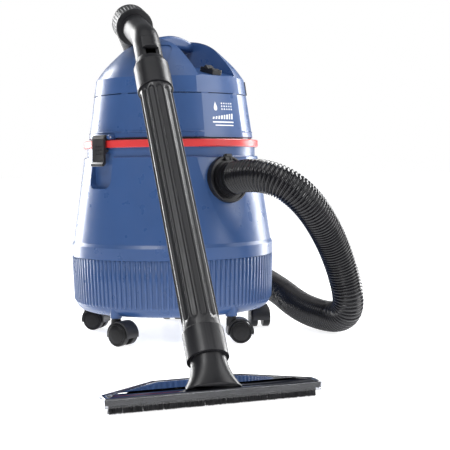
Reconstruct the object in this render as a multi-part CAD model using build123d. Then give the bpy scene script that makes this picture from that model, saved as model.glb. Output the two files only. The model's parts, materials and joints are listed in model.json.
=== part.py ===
from build123d import *
import math
import os

# Wet and dry canister vacuum on five twin-wheel castors, with its hose, wand and floor tool.
# Units are millimetres. The origin is on the canister's axis at floor level, +Z is up and
# -Y is the front, where the hose port and the switch are. +X is on the right of somebody
# who faces the front.

# ---- overall sizes ----
BULGE_RADIUS = 190.0          # widest ring of the tank
SHOULDER_RADIUS = 163.5       # tank just under its neck
NECK_RADIUS = 158.0
TANK_FLOOR_Z = 49.5
RIB_BAND_Z = 69.0             # lower edge of the ribbed band
BULGE_Z = 150.0               # lower edge of the bulge ring
CONE_Z = 178.0                # upper edge of the bulge ring
SHOULDER_Z = 331.0
RING_Z = 349.0                # underside of the red rim ring
RING_HEIGHT = 13.4
RING_RADIUS = 164.0
RIM_IN_RING = 7.0             # how far the tank's rim stands up inside the ring
TANK_WALL = 3.0
RIB_DEPTH = 2.2               # how far the plain band is set back for the ribs
BOTTOM_ROUND = 22.0           # width of the rounded lower corner

DECK_THICKNESS = 3.6
HEAD_BOTTOM_RADIUS = 154.6
SEAM_RADIUS = 143.0
SEAM_Z = 444.0
COVER_EDGE_RADIUS = 138.7
COVER_EDGE_Z = 474.7
DOME_TOP_Z = 560.0
HEAD_WALL = 3.0
SEAM_GAP = 1.6
HEAD_TURN = 4.3               # the head and its latches sit a little round from the port
FACET_CURVE = 235.0           # its radius of curvature at the deck
FACET_DEPTH = 3.4
FACET_FOOT_Z = 196.0          # where the tank's port facet fades out

# ---- carry handle and the recess that it bridges ----
RECESS_HALF = 45.0
LEDGE_OUTER_Z = 475.2
LEDGE_INNER_Z = 497.0
LEDGE_INNER_Y = 58.0
BAR_BOTTOM_Z = 531.0
BAR_HALF_DEPTH = 16.0
BAR_ROUND = 9.0
BAR_TENON = 7.0

# ---- rocker switch ----
SWITCH_Y = -113.0
SWITCH_LENGTH = 36.0
SWITCH_WIDTH = 23.0
SWITCH_HEIGHT = 9.0
ROCKER_PIVOT = 3.0            # height of the pivot over the ledge
ROCKER_CLEARANCE = 0.5

# ---- hose port ----
PORT_Z = 290.0
PORT_TILT = 8.5               # degrees, square to the tank's cone
FLANGE_RADIUS = 42.0
FLANGE_HEIGHT = 9.0
TAB_SEAT_Z = 7.4              # underside of the release key over the tank's wall
TAB_TRAVEL = 2.2
HOSE_RADIUS = 29.0
SPIGOT_RADIUS = 25.0
SPIGOT_BORE = 22.0
DEFLECTOR_BEND = 34.0
HOSE_SEAT = 27.0              # where the hose starts, out from the tank's wall

# ---- latches ----
LATCH_WIDTH = 34.0
LATCH_PIN_Z = 368.0
LATCH_PIN_RADIUS_AT = 161.5
LATCH_PIN_R = 2.0
LATCH_FACE = 171.5
LATCH_THICKNESS = 4.5
LATCH_BOTTOM_Z = 318.0
PIN_CLEARANCE = 0.06
POCKET_WIDTH = 60.0
POCKET_BOTTOM_Z = 276.0
POCKET_RADIUS = 155.5

# ---- castors ----
CASTOR_COUNT = 5
CASTOR_CIRCLE = 174.0
CASTOR_TRAIL = 15.0
WHEEL_RADIUS = 20.0
WHEEL_WIDTH = 14.5
WHEEL_GAP = 9.2               # between the two wheels
HOOD_WALL = 3.6               # outside of the hood over the wheel's rim
HOOD_GAP = 1.2
HOOD_WIDTH = 31.0
HOOD_BELOW_AXLE = 5.0         # how far the hood reaches below the axle
STEM_RADIUS = 4.0
STEM_TOP_Z = 76.0
SOCKET_RADIUS = 6.5
BOSS_RADIUS = 10.5
BOSS_BOTTOM_Z = 47.8
AXLE_RADIUS = 2.5
RUNNING_FIT = 0.06
CASTOR_YAWS = [328.0, 168.0, 80.0, 86.0, 359.0]

# ---- motor ----
MOTOR_SEAT_Z = 378.0
FAN_CASE_RADIUS = 72.0
FAN_CASE_HEIGHT = 34.0
STATOR_RADIUS = 46.0
STATOR_HEIGHT = 44.0
ROTOR_RADIUS = 24.0
SHAFT_RADIUS = 4.0
BEARING_RADIUS = 11.0
MOTOR_TOP_Z = 484.0

# ---- filter and float ----
FILTER_RADIUS = 62.0
FILTER_HEIGHT = 118.0
FLOAT_RADIUS = 19.0
FLOAT_SEAT = 16.0             # radius of the hole that the float closes

# ---- wand, grip and floor tool ----
WAND_FOOT = (-320.0, -526.0, 24.0)
WAND_HEADING = 23.5           # degrees from +Y towards +X
WAND_LEAN = 39.6              # degrees from upright
TUBE_RADIUS = 26.5
TUBE_WALL = 2.2
TUBE_START = 46.0
TUBE_END = 572.0
FLUTE_COUNT = 12
FLUTE_RADIUS = 5.2
FLUTE_START = 96.0
FLUTE_END = 526.0
FLUTE_DEPTH = 2.4
COLLAR_START = 38.0
COLLAR_END = 81.0
COLLAR_WALL = 2.6
GRIP_START = 534.0
GRIP_BEND_AT = 657.0
GRIP_BEND_RADIUS = 50.0
GRIP_ARM = 108.0
GRIP_ELEVATION = 18.0         # degrees, of the upper arm that meets the hose
GRIP_RADIUS = 23.0
GRIP_TAPER = 16.0             # length of the cone from the sleeve to the slimmer grip
GRIP_WALL = 2.6
SLEEVE_FIT = 0.15
WINDOW_START = 598.0
WINDOW_END = 642.0
WINDOW_WIDTH = 27.0
WINDOW_DEPTH = 5.4
REGULATOR_LENGTH = 24.0
CUFF_RADIUS = 33.2
CUFF_LENGTH = 52.0
CUFF_RIBS = 36
CUFF_OVERLAP = 8.0            # how far the cuff covers the grip's mouth
CUFF_SEAT = 22.0              # depth that the hose goes into the cuff

TOOL_ORIGIN = (-329.5, -547.3, 0.0)
TOOL_HEADING = -19.55
TOOL_WIDTH = 304.0
TOOL_DEPTH = 92.0             # at the middle
TOOL_END_DEPTH = 30.0
TOOL_BACK_HALF = 64.0         # half width of the straight back edge
TOOL_HEIGHT = 24.0
TOOL_UNDERSIDE_Z = 13.0
TOOL_WALL = 3.0
RAIL_THICKNESS = 2.8
RAIL_BOTTOM_Z = 10.0
RAIL_TOP_Z = 20.5
NECK_RADIUS_TOP = 24.6

# Free route of the hose between its straight lead out of the port and its lead into the cuff.
HOSE_LEAD_OUT = 64.0
HOSE_LEAD_IN = 45.0
HOSE_POINTS = [
    (56.0, -309.0, 264.0),
    (164.0, -281.0, 157.0),
    (204.0, -279.0, 30.0),
    (210.0, -146.0, 29.5),
    (272.0, 24.0, 67.0),
    (205.0, 150.0, 130.0),
    (152.0, 224.0, 290.0),
    (122.0, 236.0, 440.0),
    (58.0, 188.0, 556.0),
]

# ---- gland for the mains lead, at the back of the head ----
GLAND_Z = 402.0
GLAND_RADIUS = 6.0
LEAD_RADIUS = 3.2

# ---- exhaust grille on the cover's band ----
GRILLE_ANGLE = -20.3          # degrees from +X
GRILLE_HALF = 42.0
GRILLE_LIFT = 3.4


# ---- small helpers ----
def at(x, y, z):
    return Location((x, y, z))


def turned(angle, shape):
    return Rotation(0, 0, angle) * shape


def turned_profile(points):
    # A closed outline in the radius and height plane, spun about the canister's axis.
    outline = Polyline(*[(r, 0, z) for r, z in points], close=True)
    return revolve(make_face(outline), Axis.Z)


def tube_solid(outer, inner, height):
    ring = Cylinder(outer, height, align=(Align.CENTER, Align.CENTER, Align.MIN))
    hole = Cylinder(inner, height + 2, align=(Align.CENTER, Align.CENTER, Align.MIN))
    return ring - at(0, 0, -1) * hole


def rod(radius, height):
    return Cylinder(radius, height, align=(Align.CENTER, Align.CENTER, Align.MIN))


def group(shapes):
    return Compound(children=list(shapes))


# ---- frames that pieces are built in ----
def port_location():
    # Local +Z leaves the tank square to its cone at the port.
    tilt = math.radians(PORT_TILT)
    axis = (0, -math.cos(tilt), math.sin(tilt))
    radius = facet_front(PORT_Z)
    return Plane(origin=(0, -radius, PORT_Z), x_dir=(1, 0, 0), z_dir=axis).location


def wand_axis():
    lean = math.radians(WAND_LEAN)
    heading = math.radians(WAND_HEADING)
    level = (math.sin(heading), math.cos(heading))
    return (level[0] * math.sin(lean), level[1] * math.sin(lean), math.cos(lean))


def wand_location():
    # Local +Z runs up the wand, local +Y points up and forwards out of the wand's top side.
    heading = math.radians(WAND_HEADING)
    side = (-math.cos(heading), math.sin(heading), 0)
    return Plane(origin=WAND_FOOT, x_dir=side, z_dir=wand_axis()).location


def grip_arm_axis():
    # Direction of the upper grip in the wand's local frame: tipped back from local +Z.
    tip = math.radians(90 - WAND_LEAN - GRIP_ELEVATION)
    return (0, -math.sin(tip), math.cos(tip))


def cuff_location():
    axis = grip_arm_axis()
    mouth = (0, axis[1] * GRIP_ARM, GRIP_BEND_AT + axis[2] * GRIP_ARM)
    return wand_location() * Plane(origin=mouth, x_dir=(1, 0, 0), z_dir=axis).location


def tool_location():
    return Location(TOOL_ORIGIN, (0, 0, TOOL_HEADING))


# ---- tank ----
def tank_radius(z):
    share = (z - CONE_Z) / (SHOULDER_Z - CONE_Z)
    return BULGE_RADIUS - 4 + (SHOULDER_RADIUS - BULGE_RADIUS + 4) * share


def tank_profile(inset, top_z):
    bulge = BULGE_RADIUS - inset
    band_top = bulge - RIB_DEPTH
    band_bottom = band_top - 3
    floor_z = TANK_FLOOR_Z + inset
    corner = math.radians(45)
    mid_r = band_bottom - BOTTOM_ROUND * (1 - math.sin(corner))
    mid_z = floor_z + (RIB_BAND_Z - TANK_FLOOR_Z) * (1 - math.cos(corner))
    base = Line((0, 0, floor_z), (band_bottom - BOTTOM_ROUND, 0, floor_z))
    corner_arc = ThreePointArc(
        (band_bottom - BOTTOM_ROUND, 0, floor_z),
        (mid_r, 0, mid_z),
        (band_bottom, 0, RIB_BAND_Z + inset),
    )
    side = Polyline(
        (band_bottom, 0, RIB_BAND_Z + inset),
        (band_top, 0, BULGE_Z),
        (bulge, 0, BULGE_Z + 1.2),
        (bulge - 0.6, 0, CONE_Z - 6),
        (bulge - 4, 0, CONE_Z),
        (SHOULDER_RADIUS - inset, 0, SHOULDER_Z),
        (SHOULDER_RADIUS - inset - 1.6, 0, SHOULDER_Z + 1.6),
        (NECK_RADIUS - inset, 0, SHOULDER_Z + 1.8),
        (NECK_RADIUS - inset, 0, top_z),
        (0, 0, top_z),
        (0, 0, floor_z),
    )
    return make_face([base, corner_arc, side])


def facet_front(z):
    # How far the flatter port facet stands out, from nothing at its foot to its full depth.
    share = (z - FACET_FOOT_Z) / (SHOULDER_Z - FACET_FOOT_Z)
    return tank_radius(z) - FACET_DEPTH * share


def front_limit(inset, low_z, high_z, low_front, high_front):
    # A large cone whose front face is the flatter front facet of the round body.
    centre = FACET_CURVE - HEAD_BOTTOM_RADIUS + FACET_DEPTH
    cone = Cone(
        low_front + centre - inset,
        high_front + centre - inset,
        high_z - low_z,
        align=(Align.CENTER, Align.CENTER, Align.MIN),
    )
    return at(0, centre, low_z) * cone


def tank_form(inset, top_z):
    body = revolve(tank_profile(inset, top_z), Axis.Z)
    # Port facet: only the front of the cone is flattened, fading out towards the bulge.
    facet = front_limit(inset, FACET_FOOT_Z, SHOULDER_Z, facet_front(FACET_FOOT_Z), facet_front(SHOULDER_Z))
    cone_zone = at(0, 0, FACET_FOOT_Z) * rod(BULGE_RADIUS + 20, SHOULDER_Z - FACET_FOOT_Z)
    body = body - (cone_zone - facet)
    for sign in (-1, 1):
        body = body - latch_pocket(sign, inset)
    return body


def latch_pocket(sign, inset):
    width = POCKET_WIDTH + 2 * inset
    height = SHOULDER_Z + 8 - POCKET_BOTTOM_Z + inset
    block = Box(60, width, height, align=(Align.MIN, Align.CENTER, Align.MIN))
    corners = block.edges().filter_by(Axis.X).group_by(Axis.Z)[0]
    block = fillet(corners, 14 + inset)
    block = at(POCKET_RADIUS - inset, 0, POCKET_BOTTOM_Z - inset) * block
    return turned(HEAD_TURN + (0 if sign > 0 else 180), block)


def tank_shell():
    rim_z = RING_Z + RIM_IN_RING
    shell = tank_form(0, rim_z) - tank_form(TANK_WALL, rim_z + 4)
    for index in range(CASTOR_COUNT):
        boss = rod(BOSS_RADIUS, STEM_TOP_Z + 6 - BOSS_BOTTOM_Z)
        bore = rod(SOCKET_RADIUS, STEM_TOP_Z + 2 - BOSS_BOTTOM_Z + 1)
        shell = shell + castor_place(index) * at(0, 0, BOSS_BOTTOM_Z) * boss
        shell = shell - castor_place(index) * at(0, 0, BOSS_BOTTOM_Z - 1) * bore
    hole = at(0, 0, -40) * rod(SPIGOT_RADIUS + 1.0, 60)
    return shell - port_location() * hole


def tank_rim_ring():
    inner = NECK_RADIUS - TANK_WALL - 5
    ring = turned_profile([
        (inner, RING_Z + 1.5),
        (RING_RADIUS - 1.5, RING_Z),
        (RING_RADIUS, RING_Z + 1.5),
        (RING_RADIUS, RING_Z + RING_HEIGHT - 1.5),
        (RING_RADIUS - 1.5, RING_Z + RING_HEIGHT),
        (inner, RING_Z + RING_HEIGHT),
    ])
    groove = at(0, 0, RING_Z - 1) * tube_solid(
        NECK_RADIUS + SLEEVE_FIT, NECK_RADIUS - TANK_WALL - SLEEVE_FIT, RIM_IN_RING + 1 + SLEEVE_FIT)
    return ring - groove


def castor_sockets():
    sleeves = []
    for index in range(CASTOR_COUNT):
        sleeve = tube_solid(SOCKET_RADIUS - 0.02, STEM_RADIUS + RUNNING_FIT,
                            STEM_TOP_Z + 1 - BOSS_BOTTOM_Z)
        sleeves.append(castor_place(index) * at(0, 0, BOSS_BOTTOM_Z) * sleeve)
    return group(sleeves)


# ---- hose port ----
def port_flange():
    base = at(0, 0, -14) * rod(FLANGE_RADIUS, 14 + FLANGE_HEIGHT)
    rim_edges = base.edges().group_by(Axis.Z)[-1]
    base = fillet(rim_edges, 2.0)
    step = at(0, 0, FLANGE_HEIGHT - 3) * tube_solid(FLANGE_RADIUS - 4, FLANGE_RADIUS - 8, 4)
    cup = rod(FLANGE_RADIUS - 9, 12)
    body = base - step - at(0, 0, FLANGE_HEIGHT - 5) * cup
    body = body - at(0, 0, -15) * rod(SPIGOT_RADIUS + 0.35, 40)
    body = body - tab_slot()
    placed = port_location() * body
    return placed - tank_form(0, RING_Z)


def tab_slot():
    return at(0, FLANGE_RADIUS - 3, TAB_SEAT_Z - TAB_TRAVEL - 0.4) * Box(
        19, 22, 20, align=(Align.CENTER, Align.CENTER, Align.MIN))


def port_release_tab():
    # Sprung key at the top of the flange, which frees the spigot when it is pressed.
    plate = Box(17.6, 11.4, 3.4, align=(Align.CENTER, Align.CENTER, Align.MIN))
    plate = fillet(plate.edges().filter_by(Axis.Z), 3.0)
    grip = Box(12, 4, 3, align=(Align.CENTER, Align.CENTER, Align.MIN))
    tab = plate + at(0, 3.4, 3) * grip
    for x in (-5.4, 5.4):
        tab = tab + at(x, -2.6, 3) * rod(2.6, 1.8)
    return port_location() * at(0, FLANGE_RADIUS - 3, TAB_SEAT_Z) * tab


def hose_connector():
    # Spigot that plugs through the flange and grips the end of the hose.
    tube = at(0, 0, -22) * tube_solid(SPIGOT_RADIUS, SPIGOT_BORE, 22 + HOSE_SEAT)
    collar = at(0, 0, FLANGE_HEIGHT - 4.6) * tube_solid(FLANGE_RADIUS - 9.4, SPIGOT_BORE, 7.6)
    ring = at(0, 0, FLANGE_HEIGHT + 3) * tube_solid(HOSE_RADIUS + 1.4, SPIGOT_BORE, 9)
    cup = at(0, 0, FLANGE_HEIGHT + 12) * tube_solid(HOSE_RADIUS - 1.0, SPIGOT_BORE, HOSE_SEAT - FLANGE_HEIGHT - 12)
    return port_location() * (tube + collar + ring + cup)


def inlet_deflector():
    # Elbow inside the tank that sends the dirty air down and away from the filter.
    path = FilletPolyline((0, 0, 0), (0, 0, -44), (0, -50, -62), radius=DEFLECTOR_BEND)
    mouth = Plane(origin=(0, 0, 0), x_dir=(1, 0, 0), z_dir=(0, 0, -1))
    outer = sweep(mouth * Circle(SPIGOT_RADIUS + 4.6), path)
    inner = sweep(mouth * Circle(SPIGOT_RADIUS + 2.2), path)
    flange = at(0, 0, -3.0) * tube_solid(SPIGOT_RADIUS + 10, SPIGOT_RADIUS + 2.2, 3.0)
    elbow = (outer - inner) + flange
    return port_location() * at(0, 0, -TANK_WALL - 2.6) * elbow


# ---- castors ----
def castor_angle(index):
    return index * 360 / CASTOR_COUNT


def castor_place(index):
    return Rotation(0, 0, castor_angle(index)) * at(0, -CASTOR_CIRCLE, 0)


def castor_frame(index):
    return castor_place(index) * Rotation(0, 0, CASTOR_YAWS[index])


def castor_hood(index):
    axle_z = WHEEL_RADIUS
    web = at(0, 0, axle_z - 5) * Box(
        CASTOR_TRAIL + 14, WHEEL_GAP - 1.2, 24, align=(Align.CENTER, Align.CENTER, Align.MIN))
    web = at(CASTOR_TRAIL / 2, 0, 0) * web
    arch = along_y(tube_solid(WHEEL_RADIUS + HOOD_WALL, WHEEL_RADIUS + HOOD_GAP, HOOD_WIDTH), HOOD_WIDTH)
    arch = at(CASTOR_TRAIL, 0, axle_z) * arch
    keep = at(CASTOR_TRAIL, 0, axle_z - HOOD_BELOW_AXLE) * Box(
        80, 40, 60, align=(Align.CENTER, Align.CENTER, Align.MIN))
    arch = arch & keep
    web_round = at(CASTOR_TRAIL, 0, axle_z) * along_y(rod(WHEEL_RADIUS + HOOD_WALL, 20), 20)
    post = at(0, 0, 30) * rod(9.0, 14.0)
    collar = at(0, 0, 40) * rod(8.5, 6.6)
    stem = at(0, 0, 40) * rod(STEM_RADIUS, STEM_TOP_Z - 40)
    neck = at(0, 0, 31) * Box(18, WHEEL_GAP - 1.2, 12, align=(Align.CENTER, Align.CENTER, Align.MIN))
    post = post - at(CASTOR_TRAIL, 0, axle_z) * along_y(
        tube_solid(WHEEL_RADIUS + HOOD_GAP, 0.5, 60), 60)
    body = (web & web_round) + arch + post + collar + stem + neck
    bore = at(CASTOR_TRAIL, 0, axle_z) * along_y(rod(AXLE_RADIUS, 40), 40)
    return castor_frame(index) * (body - bore)


def along_y(shape, length):
    # Lays a piece that was built along +Z on its side, centred on the Y axis.
    return Rotation(90, 0, 0) * at(0, 0, -length / 2) * shape


def castor_axle(index):
    length = WHEEL_GAP + 2 * (WHEEL_WIDTH - 4)
    pin = along_y(rod(AXLE_RADIUS, length), length)
    return castor_frame(index) * at(CASTOR_TRAIL, 0, WHEEL_RADIUS) * pin


def castor_wheel(index, side):
    hub = AXLE_RADIUS + RUNNING_FIT
    width = WHEEL_WIDTH
    outline = Polyline(
        (hub, 0, 0),
        (hub + 4, 0, 0),
        (hub + 4.4, 0, 0.8),
        (WHEEL_RADIUS - 1.4, 0, 0.8),
        (WHEEL_RADIUS, 0, 2.0),
        (WHEEL_RADIUS, 0, width - 2.6),
        (WHEEL_RADIUS - 0.9, 0, width - 0.9),
        (WHEEL_RADIUS - 2.8, 0, width),
        (WHEEL_RADIUS - 3.6, 0, width - 1.0),
        (WHEEL_RADIUS - 4.6, 0, width - 0.2),
        (WHEEL_RADIUS - 10, 0, width + 0.9),
        (0, 0, width + 1.4),
        (0, 0, width - 2.6),
        (hub, 0, width - 2.6),
        close=True,
    )
    wheel = revolve(make_face(outline), Axis.Z)
    wheel = at(0, 0, WHEEL_GAP / 2) * wheel
    tip = -90 if side > 0 else 90
    placed = at(CASTOR_TRAIL, 0, WHEEL_RADIUS) * Rotation(tip, 0, 0) * wheel
    return castor_frame(index) * placed


# ---- head ----
def dome_profile(inset, low_z):
    edge = COVER_EDGE_RADIUS - inset
    seam = SEAM_RADIUS - inset
    wall = Polyline((0, 0, low_z), (seam, 0, low_z), (seam, 0, SEAM_Z + 1), (edge, 0, COVER_EDGE_Z - inset / 2))
    slope = Spline(
        (edge, 0, COVER_EDGE_Z - inset / 2),
        (127.8 - inset * 0.8, 0, 490 - inset * 0.6),
        (101 - inset * 0.7, 0, 518 - inset * 0.75),
        (82 - inset * 0.6, 0, 534.5 - inset * 0.8),
        (45, 0, 551.2 - inset * 0.9),
        (0, 0, DOME_TOP_Z - inset),
        tangents=[(-0.6, 0, 0.8), (-1, 0, 0)],
    )
    axis_line = Line((0, 0, DOME_TOP_Z - inset), (0, 0, low_z))
    return make_face([wall, slope, axis_line])


def recess_form(inset):
    # Open channel from front to back, under and beside the carry bar.
    outer_y = COVER_EDGE_RADIUS + 6
    rise = (LEDGE_INNER_Z - LEDGE_OUTER_Z) / (COVER_EDGE_RADIUS - LEDGE_INNER_Y)
    low = LEDGE_OUTER_Z - 6 * rise - inset
    outline = Polyline(
        (0, -outer_y, low),
        (0, -LEDGE_INNER_Y, LEDGE_INNER_Z - inset),
        (0, LEDGE_INNER_Y, LEDGE_INNER_Z - inset),
        (0, outer_y, low),
        (0, outer_y, DOME_TOP_Z + 20),
        (0, -outer_y, DOME_TOP_Z + 20),
        close=True,
    )
    half = RECESS_HALF + inset
    return extrude(make_face(outline), amount=half, dir=(1, 0, 0), both=True)


def cheek_panel(sign, inset):
    # Shallow inset panel with rounded corners on each cheek of the dome.
    middle = 57.0
    sector = Box(150, 62, 56, align=(Align.MIN, Align.CENTER, Align.MIN))
    sector = fillet(sector.edges().filter_by(Axis.X), 12)
    block = at(60, 0, COVER_EDGE_Z + 3.5) * sector
    block = turned(-90 + sign * middle, block)
    skin = revolve(dome_profile(1.4 + inset, SEAM_Z), Axis.Z)
    return block - skin


def cover_form(inset, low_z):
    body = revolve(dome_profile(inset, low_z), Axis.Z) - recess_form(inset)
    high_z = DOME_TOP_Z + 20
    limit = front_limit(inset, low_z, high_z, head_front(low_z), head_front(high_z))
    body = body & limit
    return body


def head_radius(z):
    share = (z - RING_Z - RING_HEIGHT) / (SEAM_Z - RING_Z - RING_HEIGHT)
    return HEAD_BOTTOM_RADIUS + (SEAM_RADIUS - HEAD_BOTTOM_RADIUS) * share


def head_front(z):
    return head_radius(z) - FACET_DEPTH


def switch_location():
    rise = (LEDGE_INNER_Z - LEDGE_OUTER_Z) / (COVER_EDGE_RADIUS - LEDGE_INNER_Y)
    height = LEDGE_OUTER_Z + rise * (COVER_EDGE_RADIUS + SWITCH_Y)
    return Location((0, SWITCH_Y, height), (math.degrees(math.atan(rise)), 0, 0))


def top_cover():
    low = SEAM_Z + SEAM_GAP
    outer = cover_form(0, low)
    for sign in (-1, 1):
        outer = outer - cheek_panel(sign, 0)
    shell = outer - cover_form(HEAD_WALL, low - 1)
    hole = Box(SWITCH_WIDTH - 4, SWITCH_LENGTH - 4, 30)
    shell = shell - switch_location() * hole
    tenon = Box(2 * RECESS_HALF + 2 * BAR_TENON, 16.2, 12.2)
    return shell - at(0, 0, BAR_BOTTOM_Z + 9.5) * tenon


def carry_handle():
    # Bar across the recess, rounded on all four long edges, with a tenon in each cheek.
    half = RECESS_HALF - 0.05
    top = ThreePointArc((-half, 0, 548.6), (0, 0, DOME_TOP_Z - 0.6), (half, 0, 548.6))
    right = Line((half, 0, 548.6), (half, 0, BAR_BOTTOM_Z))
    under = ThreePointArc((half, 0, BAR_BOTTOM_Z), (0, 0, BAR_BOTTOM_Z + 4), (-half, 0, BAR_BOTTOM_Z))
    left = Line((-half, 0, BAR_BOTTOM_Z), (-half, 0, 548.6))
    bar = extrude(make_face([top, right, under, left]), amount=BAR_HALF_DEPTH, dir=(0, 1, 0), both=True)
    long_edges = [edge for edge in bar.edges() if abs(edge.center().X) < 1]
    bar = fillet([edge for edge in long_edges if edge.length > 60], BAR_ROUND - 1.5)
    tenon = Box(2 * RECESS_HALF + 2 * BAR_TENON - 1, 16, 12)
    return bar + at(0, 0, BAR_BOTTOM_Z + 9.5) * tenon


def switch_bezel():
    body = Box(SWITCH_WIDTH, SWITCH_LENGTH, SWITCH_HEIGHT, align=(Align.CENTER, Align.CENTER, Align.MIN))
    body = fillet(body.edges().filter_by(Axis.Z), 2.5)
    body = fillet(body.edges().group_by(Axis.Z)[-1], 1.0)
    under = at(0, 0, -12) * Box(
        SWITCH_WIDTH - 4.2, SWITCH_LENGTH - 4.2, 13, align=(Align.CENTER, Align.CENTER, Align.MIN))
    well = at(0, 0, -6) * Box(
        SWITCH_WIDTH - 7, SWITCH_LENGTH - 8, 30, align=(Align.CENTER, Align.CENTER, Align.MIN))
    return switch_location() * (body + under - well)


def switch_rocker():
    # Raised at the back and hollowed to its pivot line; round ends swing in the well.
    width = SWITCH_WIDTH - 7 - 2 * ROCKER_CLEARANCE
    length = SWITCH_LENGTH - 8 - 2 * ROCKER_CLEARANCE
    outline = Polyline(
        (0, -length / 2, 0.5),
        (0, -length / 2, 10.6),
        (0, 0, 9.4),
        (0, length / 2, 15.6),
        (0, length / 2, 0.5),
        close=True,
    )
    rocker = extrude(make_face(outline), amount=width / 2, dir=(1, 0, 0), both=True)
    swing = at(0, 0, ROCKER_PIVOT) * Rotation(0, 90, 0) * Cylinder(length / 2, width + 2)
    return switch_location() * (rocker & swing)


def exhaust_grille():
    # Raised outlet panel on the right of the cover band, with upright louvres.
    low, high = SEAM_Z + 4, COVER_EDGE_Z - 1.5
    band = turned_profile([
        (head_radius(low) - 4.0, low),
        (head_radius(low) + GRILLE_LIFT, low),
        (head_radius(high) + GRILLE_LIFT, high),
        (head_radius(high) - 4.0, high),
    ])
    band = band - revolve(dome_profile(0, SEAM_Z), Axis.Z)
    sector = turned(GRILLE_ANGLE, Box(200, 2 * GRILLE_HALF, 80, align=(Align.MIN, Align.CENTER, Align.MIN)))
    panel = band & at(0, 0, SEAM_Z - 10) * sector
    for step in range(-4, 5):
        slot = Box(30, 3.0, high - low - 8, align=(Align.MIN, Align.CENTER, Align.MIN))
        slot = at(COVER_EDGE_RADIUS + 1.8, 0, low + 4) * slot
        panel = panel - turned(GRILLE_ANGLE + step * 2.8, slot)
    return panel


def head_shell():
    low = RING_Z + RING_HEIGHT + DECK_THICKNESS
    outer = turned_profile([
        (0, low),
        (head_radius(low) - 1.0, low),
        (head_radius(low), low + 1.0),
        (head_radius(low + 9), low + 9),
        (head_radius(low + 9) + 0.9, low + 9.7),
        (head_radius(low + 9) + 0.9, low + 11.2),
        (head_radius(low + 12), low + 12),
        (SEAM_RADIUS, SEAM_Z),
        (0, SEAM_Z),
    ])
    outer = outer & front_limit(-0.9, low, SEAM_Z + 1, head_front(low), head_front(SEAM_Z + 1))
    inner = turned_profile([
        (0, low - 1),
        (head_radius(low) - HEAD_WALL, low - 1),
        (SEAM_RADIUS - HEAD_WALL, SEAM_Z - HEAD_WALL),
        (SEAM_RADIUS - HEAD_WALL - 6, SEAM_Z - HEAD_WALL),
        (SEAM_RADIUS - HEAD_WALL - 6, SEAM_Z + 1),
        (0, SEAM_Z + 1),
    ])
    inner = inner & front_limit(HEAD_WALL, low - 1, SEAM_Z + 1, head_front(low), head_front(SEAM_Z + 1))
    shell = outer - inner
    # Spacer tabs that carry the cover over the open cooling slots.
    tabs = []
    for step in range(12):
        tab = Box(8, 14, SEAM_GAP, align=(Align.MIN, Align.CENTER, Align.MIN))
        tabs.append(turned(step * 30 + 15, at(SEAM_RADIUS - 8.5, 0, SEAM_Z) * tab))
    for tab in tabs:
        shell = shell + tab
    for sign in (-1, 1):
        shell = shell + latch_lugs(sign)
    gland = turned(90, at(120, 0, GLAND_Z) * Rotation(0, 90, 0) * rod(GLAND_RADIUS + 0.1, 50))
    return turned(HEAD_TURN, shell) - gland


def latch_lugs(sign):
    lugs = None
    for y in (-LATCH_WIDTH / 2 - 4.6, LATCH_WIDTH / 2 + 4.6):
        lug = at(LATCH_PIN_RADIUS_AT - 12, y, LATCH_PIN_Z) * Box(24, 6, 8)
        nose = at(LATCH_PIN_RADIUS_AT, y, LATCH_PIN_Z) * along_y(rod(4.0, 6), 6)
        piece = lug + nose
        piece = piece - at(LATCH_PIN_RADIUS_AT, y, LATCH_PIN_Z) * along_y(rod(LATCH_PIN_R, 8), 8)
        lugs = piece if lugs is None else lugs + piece
    trim = turned_profile([(0, LATCH_PIN_Z - 9), (HEAD_BOTTOM_RADIUS - 3.2, LATCH_PIN_Z - 9),
                           (HEAD_BOTTOM_RADIUS - 3.2, LATCH_PIN_Z + 9), (0, LATCH_PIN_Z + 9)])
    return turned(0 if sign > 0 else 180, lugs - trim)


def latch(sign):
    front = LATCH_FACE
    back = LATCH_FACE - LATCH_THICKNESS
    pin_r = LATCH_PIN_RADIUS_AT
    outline = Polyline(
        (back, 0, LATCH_BOTTOM_Z + 2),
        (front + 1.5, 0, LATCH_BOTTOM_Z - 2),
        (front + 3.4, 0, LATCH_BOTTOM_Z - 0.5),
        (front + 3.4, 0, LATCH_BOTTOM_Z + 2.5),
        (front, 0, LATCH_BOTTOM_Z + 6),
        (front, 0, LATCH_PIN_Z - 3),
        (front - 3, 0, LATCH_PIN_Z + 3.5),
        (pin_r + 3, 0, LATCH_PIN_Z + 4),
        (pin_r + 1.5, 0, LATCH_PIN_Z - 1.5),
        (back, 0, LATCH_PIN_Z - 5.2),
        (back, 0, RING_Z - 3.2),
        (pin_r - 1.0, 0, RING_Z - 3.6),
        (pin_r - 1.0, 0, RING_Z - 7.0),
        (back, 0, RING_Z - 9.5),
        close=True,
    )
    plate = extrude(make_face(outline), amount=LATCH_WIDTH / 2, dir=(0, 1, 0), both=True)
    barrel = at(pin_r, 0, LATCH_PIN_Z) * along_y(rod(4.0, LATCH_WIDTH), LATCH_WIDTH)
    body = plate + barrel
    body = body - at(pin_r, 0, LATCH_PIN_Z) * along_y(rod(LATCH_PIN_R + PIN_CLEARANCE, 60), 60)
    for column in (-7, 0, 7):
        for row in range(3):
            dot = Rotation(0, 90, 0) * rod(1.3, 1.6)
            body = body + at(front - 0.8, column, LATCH_PIN_Z - 16 - row * 7) * dot
    return turned(0 if sign > 0 else 180, body)


def latch_pins():
    pins = []
    for angle in (0, 180):
        pin = along_y(rod(LATCH_PIN_R, LATCH_WIDTH + 15), LATCH_WIDTH + 15)
        pins.append(turned(HEAD_TURN + angle, at(LATCH_PIN_RADIUS_AT, 0, LATCH_PIN_Z) * pin))
    return group(pins)


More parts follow.
